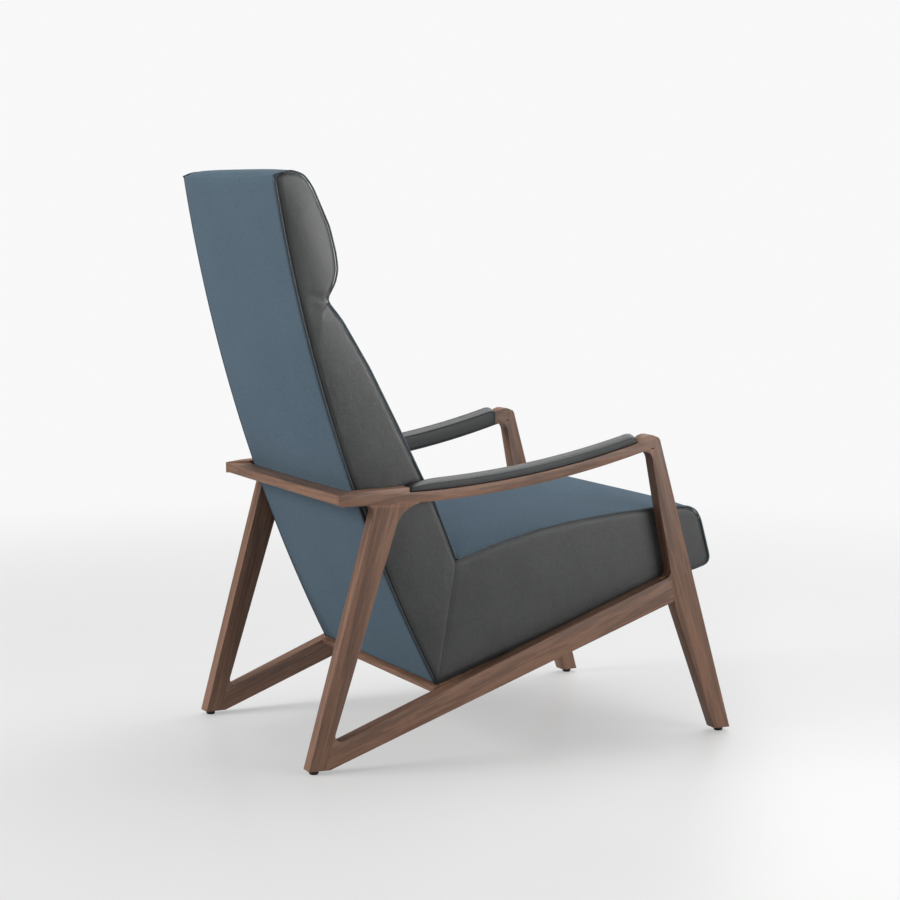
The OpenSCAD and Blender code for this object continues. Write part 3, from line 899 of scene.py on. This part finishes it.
class Back(bpy.types.Operator):
    """Inner back cushion and the taut cloth of the outer back"""
    bl_idname = "lounge_chair.back"
    bl_label = "Back"

    def execute(self, context):
        sizes = context.scene.lounge_chair.sizes
        wool = finish_for("wool", context)
        inner = band_pad("inner_back_cushion", BACK_LINE, wool, WELT + COVER_GAP, depth=14.0,
                         roll=1.5, crown=4.5, cap=sizes.back_fill)
        belongs(inner, "wool_cloth", "inner_back_cover", "back_foam")
        outer = band_pad("outer_back_panel", rear_arc(REAR_LOW - 0.7, REAR_TOP), wool,
                         BACK_WELT + COVER_GAP, depth=5.0, roll=1.5, crown=5.5, edge_w=12.0, arch=2.2)
        belongs(outer, "wool_cloth", "outer_back_cover")
        return {"FINISHED"}


class Headrest(bpy.types.Operator):
    """Headrest roll, carried over the top of the back"""
    bl_idname = "lounge_chair.headrest"
    bl_label = "Headrest"

    def execute(self, context):
        sizes = context.scene.lounge_chair.sizes
        roll = band_pad("headrest_cushion", HEAD_LINE, finish_for("wool", context),
                        WELT + COVER_GAP, depth=12.0, roll=3.2, crown=3.4, cap=sizes.head_fill,
                        step=8.0, edge_w=30.0)
        belongs(roll, "wool_cloth", "headrest_cover", "head_foam")
        return {"FINISHED"}


def back_side_grid(elbow, rim):
    """Points of the back's side panel, from the mitre seam up to the top: front edge, then rear."""
    apart = np.array((SEAM, 0.0))
    rear_rim = BACK_WELT + COVER_GAP
    upright = shifted(smooth_path([*BACK_LINE[:-1], *HEAD_LINE[:-1]], 7.0, 1), rim)
    heel = np.array((back_arc_y(REAR_LOW, rear_rim), REAR_LOW))
    low = resampled([elbow + apart, *upright[1:]], 150)
    rear = resampled([heel + apart, *((back_arc_y(z, rear_rim), z)
                                      for z in np.linspace(REAR_LOW + 9.8, REAR_TOP - 6, 90))], 150)
    seam = np.linspace(0, 1, 46)[:, None]
    return coons(low, rear, low[0] + seam * (rear[0] - low[0]), low[-1] + seam * (rear[-1] - low[-1]))


def seat_side_grid(elbow, rim):
    """Points of the seat's side panel, from its front edge back to the mitre seam: under, then top."""
    apart = np.array((SEAM, 0.0))
    heel_y = back_arc_y(REAR_LOW, BACK_WELT + COVER_GAP)
    top = shifted(smooth_path(SEAT_LINE, 7.0, 1), rim)
    top[-1] = elbow - apart
    under = np.array([(y, shell_base(y) - COVER_GAP)
                      for y in np.linspace(FRONT_LINE[0][0], heel_y, 80)])
    under[-1] = np.array((heel_y, REAR_LOW)) - apart
    nose = shifted(smooth_path(FRONT_LINE[1:], 5.0, 1), rim)
    front = resampled([tuple(under[0]), *map(tuple, nose)], 34)
    front[-1] = top[0]
    low, high = resampled(under, 96), resampled(top, 96)
    seam = low[-1] + np.linspace(0, 1, 34)[:, None] * (high[-1] - low[-1])
    return coons(low, high, front, seam)


class Sides(bpy.types.Operator):
    """Leather side panels, joined at the mitre seam from elbow to heel"""
    bl_idname = "lounge_chair.sides"
    bl_label = "Leather sides"

    def execute(self, context):
        hide = finish_for("leather_panel", context)
        rim = WELT + COVER_GAP
        elbow = corner(SEAT_LINE[-2], ELBOW, BACK_LINE[1], rim)
        back_grid, seat_grid = back_side_grid(elbow, rim), seat_side_grid(elbow, rim)
        for side, hand in ((-1, "right"), (1, "left")):
            back = side_panel_piece("back_side_leather_" + hand, side, back_grid, hide,
                                    mitre=0, puff=1.9, under=0.0)
            belongs(back, "leather", "back_side_cover_" + hand)
            seat = side_panel_piece("seat_side_leather_" + hand, side, seat_grid, hide,
                                    mitre=-1, puff=2.0, under=1.5)
            belongs(seat, "leather", "seat_side_cover_" + hand)
        return {"FINISHED"}


class Welts(bpy.types.Operator):
    """Thick welts up the rear corners and thin welts along the front and seat edges"""
    bl_idname = "lounge_chair.welts"
    bl_label = "Welts"

    def execute(self, context):
        sizes = context.scene.lounge_chair.sizes
        thin, thick = sizes.welt_radius, sizes.back_welt_radius
        cord, trim = finish_for("leather_welt", context), finish_for("wool_welt", context)
        for side, hand in ((-1, "right"), (1, "left")):
            arc = [at(side * (shell_half(y) - 3.6), y - 3.9, z) for y, z in rear_arc(144.5, 1110)]
            piece = tube("rear_welt_" + hand, arc, thick, cord, 12)
            belongs(piece, "leather", "back_welt_" + hand)
            upright = [*BACK_LINE[:-1], *HEAD_LINE]
            line = edge_line(upright, WELT_IN, WELT_IN, side, 6.0, 2)
            piece = tube("front_welt_" + hand, line, thin, trim)
            piece.data.materials.append(cord)
            for p in piece.data.polygons:
                p.material_index = int(p.center.z > NOTCH[1] * MM)
            belongs(piece, "wool_cloth", "inner_back_welt_" + hand)
            line = edge_line([*FRONT_LINE, *SEAT_LINE[1:]], WELT_IN, WELT_IN, side, 6.0, 2)
            piece = tube("seat_edge_welt_" + hand, line, thin, trim)
            belongs(piece, "wool_cloth", "seat_welt_" + hand)
        return {"FINISHED"}


class ArmPads(bpy.types.Operator):
    """Leather pads over the arm rails"""
    bl_idname = "lounge_chair.arm_pads"
    bl_label = "Arm pads"

    def execute(self, context):
        crown = context.scene.lounge_chair.sizes.pad_crown / MM
        hide, cord = finish_for("leather_pad", context), finish_for("leather_welt", context)
        for side, hand in ((-1, "right"), (1, "left")):
            pad = arm_pad_piece("arm_pad_" + hand, side, hide, crown)
            belongs(pad, "leather", "arm_pad_cover_" + hand, "arm_pad_foam_" + hand)
            for inner, place in ((False, "outer"), (True, "inner")):
                seam = pad_piping("arm_pad_seam_" + place + "_" + hand, side, inner, cord, crown)
                belongs(seam, "leather")
        return {"FINISHED"}


class DustCloth(bpy.types.Operator):
    """Dust cloth stretched under the shell"""
    bl_idname = "lounge_chair.dust_cloth"
    bl_label = "Dust cloth"

    def execute(self, context):
        ys = np.linspace(*DUST_Y, DUST_ROWS)
        verts, cloth = [], []
        for y in ys:
            half = shell_half(y) - WELT - COVER_GAP
            for k in np.linspace(-1, 1, DUST_COLS):
                lift = 0.8 + 0.5 * math.sin(0.05 * y) * math.sin(9 * k)
                verts.append(at(half * k, y, shell_base(y) + lift))
                cloth.append((half * k * MM, y * MM, 0))
        lining = woven_finish("dust_lining", (0.012, 0.012, 0.013), 300.0)
        piece = new_piece("dust_cloth", verts, grid_faces(DUST_ROWS, DUST_COLS), lining, cloth=cloth)
        belongs(piece, "lining", "base_cover")
        return {"FINISHED"}


class HiddenParts(bpy.types.Operator):
    """Finishes for the parts inside the shell and the frame, and for the glides"""
    bl_idname = "lounge_chair.hidden_parts"
    bl_label = "Structure and glides"

    def execute(self, context):
        ply = plain_wood_finish("birch_ply", (0.60, 0.42, 0.20), 95.0)
        softwood = plain_wood_finish("softwood", (0.55, 0.38, 0.19), 20.0)
        beech = plain_wood_finish("beech", (0.57, 0.34, 0.16), 30.0)
        zinc = metal_finish("zinc_plate", (0.60, 0.61, 0.64))
        black = moulded_finish("glide_black", (0.010, 0.010, 0.010))
        webbing = woven_finish("elastic_webbing", (0.010, 0.010, 0.010), 120.0)
        worn_by = {
            ply: ["side_panel_left", "side_panel_right", "back_panel", "base_panel"],
            softwood: ["front_timber", "seat_timber", "head_timber"],
            beech: ["joint_dowels"],
            zinc: ["glide_inserts", "shell_bolts", "tee_nuts"]
            + [e + "_stem_" + s for e in ("rear", "front") for s in ("left", "right")],
            black: [e + "_glide_" + s for e in ("rear", "front") for s in ("left", "right")],
            webbing: ["seat_webbing", "back_webbing"],
        }
        for finish, nodes in worn_by.items():
            for n in nodes:
                mesh = NODES[n].data
                if not mesh.materials:
                    mesh.materials.append(finish)
                for i in range(len(mesh.materials)):
                    mesh.materials[i] = finish
        return {"FINISHED"}


# Studio levels, and each light's place, target, size in metres, power in watts and spread in degrees
BACKDROP, AIR_LIGHT, FLOOR_GLOW = 0.94, 0.28, 0.40
LIGHTS = (
    ("overhead", (0.8, -1.1, 3.3), (0, 0, 0.3), 3.0, 88, 180),
    ("window", (1.9, -3.0, 1.9), (0, 0, 0.6), 2.0, 26, 180),
    ("side", (-2.9, -1.7, 1.05), (0, 0, 0.6), 1.9, 41, 180),
    ("head", (-2.2, -0.7, 1.45), (-0.25, 0.42, 1.13), 1.0, 1.5, 27),
    ("rear", (0.6, 3.7, 1.9), (0, 0.2, 0.75), 1.9, 110, 180),
)
FLOOR_RADIUS, FLOOR_NEAR, FLOOR_FAR = 30, 1.0, 3.6     # metres; the floor fades into air between
CAMERA_PLACE, CAMERA_LOOK = (-4.1193, 2.0252, 1.0852), (0.8903, -0.4421, -0.1091)
LENS, SENSOR = 91.1, 36.0              # millimetres
CAMERA_SHIFT = (-0.0072, -0.0118)


class Studio(bpy.types.Operator):
    """Pale floor, soft lights and the camera"""
    bl_idname = "lounge_chair.studio"
    bl_label = "Studio"

    def execute(self, context):
        scene = context.scene
        scene.view_settings.view_transform = "Standard"
        world = bpy.data.worlds.new("studio_air")
        world.use_nodes = True
        tree = world.node_tree
        sky = tree.nodes["Background"]
        sky.inputs["Color"].default_value = (1, 1, 1, 1)
        seen = tree.nodes.new("ShaderNodeLightPath")
        level = tree.nodes.new("ShaderNodeMapRange")
        level.inputs["To Min"].default_value = AIR_LIGHT
        level.inputs["To Max"].default_value = BACKDROP
        tree.links.new(seen.outputs["Is Camera Ray"], level.inputs["Value"])
        tree.links.new(level.outputs["Result"], sky.inputs["Strength"])
        scene.world = world

        bm = bmesh.new()
        bmesh.ops.create_circle(bm, cap_ends=True, segments=96, radius=FLOOR_RADIUS)
        mesh = bpy.data.meshes.new("studio_floor")
        bm.to_mesh(mesh)
        bm.free()
        floor = bpy.data.objects.new("studio_floor", mesh)
        scene.collection.objects.link(floor)
        f = Finish("floor_paint")
        here = f.node("TexCoord").outputs["Object"]
        away = f.node("VectorMath", {"operation": "LENGTH"})
        f.put(away, "0", here)
        far = f.node("MapRange", {"interpolation_type": "SMOOTHSTEP"}, Value=away.outputs["Value"],
                     From_Min=FLOOR_NEAR, From_Max=FLOOR_FAR, To_Min=FLOOR_GLOW)
        paint = tuple(scene.lounge_chair.colours.floor)
        tint = f.ramp(f.noise(here, 3.0, 3.0), [(0.3, paint), (0.7, shade(paint, 1.02))])
        f.set(Base_Color=tint, Roughness=0.30, Specular_IOR_Level=0.35)
        seen = f.node("LightPath").outputs["Is Camera Ray"]
        level = f.node("MapRange", None, Value=seen, To_Min=AIR_LIGHT * 0.5, To_Max=BACKDROP)
        glow = f.node("Emission", None, Color=(1, 1, 1, 1), Strength=level.outputs["Result"])
        both = f.node("MixShader", None, Fac=far.outputs["Result"])
        f.put(both, "1", f.shader.outputs["BSDF"])
        f.put(both, "2", glow.outputs["Emission"])
        f.put(f.tree.nodes["Material Output"], "Surface", both.outputs["Shader"])
        mesh.materials.append(f.material)

        for name, place, target, size, power, spread in LIGHTS:
            data = bpy.data.lights.new(name, "AREA")
            data.shape, data.size, data.energy = "SQUARE", size, power
            data.spread = math.radians(spread)
            lamp = bpy.data.objects.new(name, data)
            lamp.location = place
            look = Vector(target) - Vector(place)
            lamp.rotation_euler = look.to_track_quat("-Z", "Y").to_euler()
            scene.collection.objects.link(lamp)

        data = bpy.data.cameras.new("camera")
        data.lens, data.sensor_width = LENS, SENSOR
        data.shift_x, data.shift_y = CAMERA_SHIFT
        camera = bpy.data.objects.new("camera", data)
        camera.location = CAMERA_PLACE
        camera.rotation_euler = Vector(CAMERA_LOOK).to_track_quat("-Z", "Y").to_euler()
        scene.collection.objects.link(camera)
        scene.camera = camera
        return {"FINISHED"}


OPERATORS = (Timber, Seat, Back, Headrest, Sides, Welts, ArmPads, DustCloth, HiddenParts, Studio)


class ChairPanel(bpy.types.Panel):
    bl_idname = "VIEW3D_PT_lounge_chair"
    bl_label = "Lounge armchair"
    bl_space_type = "VIEW_3D"
    bl_region_type = "UI"
    bl_category = "Armchair"

    def draw(self, context):
        settings = context.scene.lounge_chair
        for group in (settings.sizes, settings.colours):
            box = self.layout.box()
            for key in group.bl_rna.properties.keys():
                if key not in ("rna_type", "name"):
                    box.prop(group, key)
        for operator in OPERATORS:
            self.layout.operator(operator.bl_idname)


CLASSES = (ChairSizes, ChairColours, ChairSettings, *OPERATORS, ChairPanel)


def register():
    for cls in CLASSES:
        bpy.utils.register_class(cls)
    bpy.types.Scene.lounge_chair = bpy.props.PointerProperty(type=ChairSettings)


def unregister():
    del bpy.types.Scene.lounge_chair
    for cls in reversed(CLASSES):
        bpy.utils.unregister_class(cls)


def main():
    register()
    chair = bpy.ops.lounge_chair
    chair.timber()
    chair.seat()
    chair.back()
    chair.headrest()
    chair.sides()
    chair.welts()
    chair.arm_pads()
    chair.dust_cloth()
    chair.hidden_parts()
    chair.studio()


if __name__ == "__main__":
    main()
